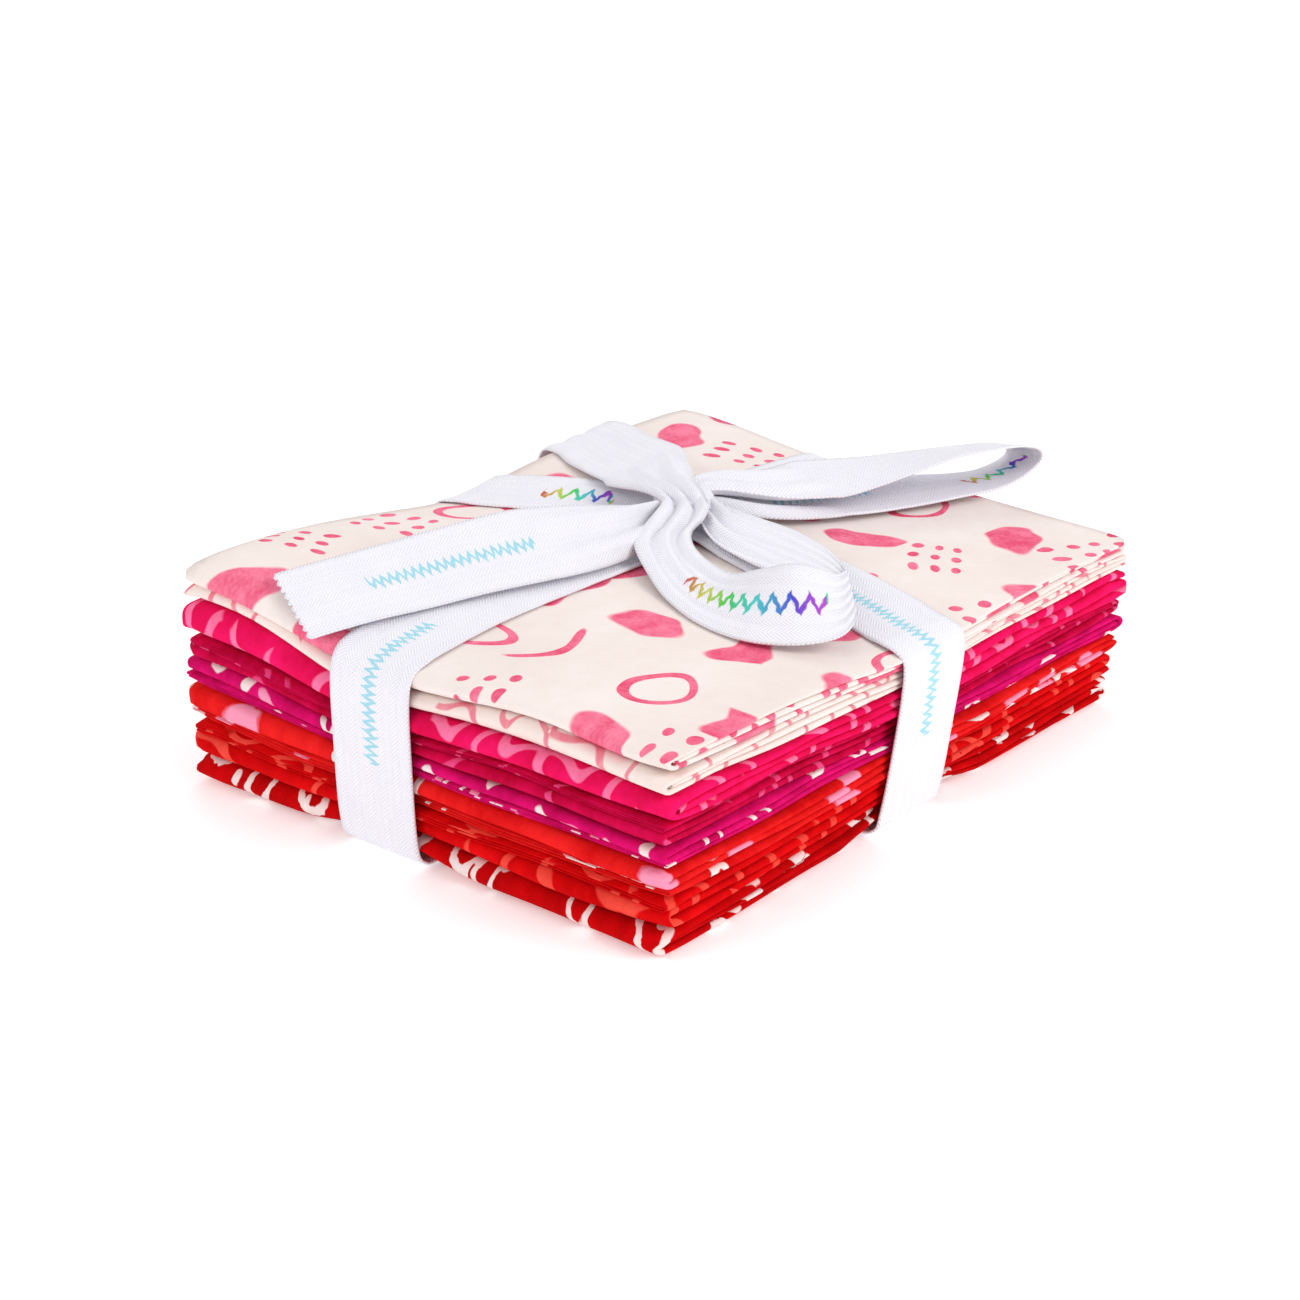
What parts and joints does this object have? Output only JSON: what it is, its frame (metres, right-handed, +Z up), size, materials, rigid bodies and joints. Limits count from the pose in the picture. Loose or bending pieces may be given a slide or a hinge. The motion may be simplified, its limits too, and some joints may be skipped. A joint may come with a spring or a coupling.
{
  "type": "fat quarter bundle",
  "caption": "Stack of folded fat quarters of printed quilting cotton, cream over pinks and reds, tied both ways with a white twill ribbon and a bow.",
  "frame": {"origin": "centre of the folded stack's footprint, on the surface that it rests on", "axes": "+X along the stack's long side, +Y along its short side, +Z up; the bow's loops point to +X and to -X -Y"},
  "size_m": [0.22, 0.1593, 0.0643],
  "materials": {
    "cotton_cream_large": "matte printed cotton, warm cream with large watercolour pink motifs",
    "cotton_cream_loops": "matte printed cotton, cream with thin pink loops",
    "cotton_hot_pink": "matte printed cotton, hot pink with paler squiggles",
    "cotton_raspberry": "matte printed cotton, mottled raspberry",
    "cotton_magenta": "matte printed cotton, magenta purple with white dots and dashes",
    "cotton_coral": "matte printed cotton, coral red with orchid and white shapes",
    "cotton_red": "matte printed cotton, red with coral lines",
    "cotton_dark_red": "matte printed cotton, dark red with cream shapes",
    "twill_ribbon": "matte herringbone twill tape, cool white"
  },
  "bodies": {
    "root": {"fat_quarter_1": "cotton_cream_large", "fat_quarter_2": "cotton_cream_loops", "fat_quarter_3": "cotton_hot_pink", "fat_quarter_4": "cotton_raspberry", "fat_quarter_5": "cotton_magenta", "fat_quarter_6": "cotton_coral", "fat_quarter_7": "cotton_red", "fat_quarter_8": "cotton_dark_red", "ribbon_wrap_long": "twill_ribbon", "ribbon_wrap_cross": "twill_ribbon", "ribbon_knot": "twill_ribbon", "ribbon_loop_right": "twill_ribbon", "ribbon_loop_front": "twill_ribbon", "ribbon_tail_left": "twill_ribbon", "ribbon_tail_back": "twill_ribbon"}
  },
  "joints": []
}
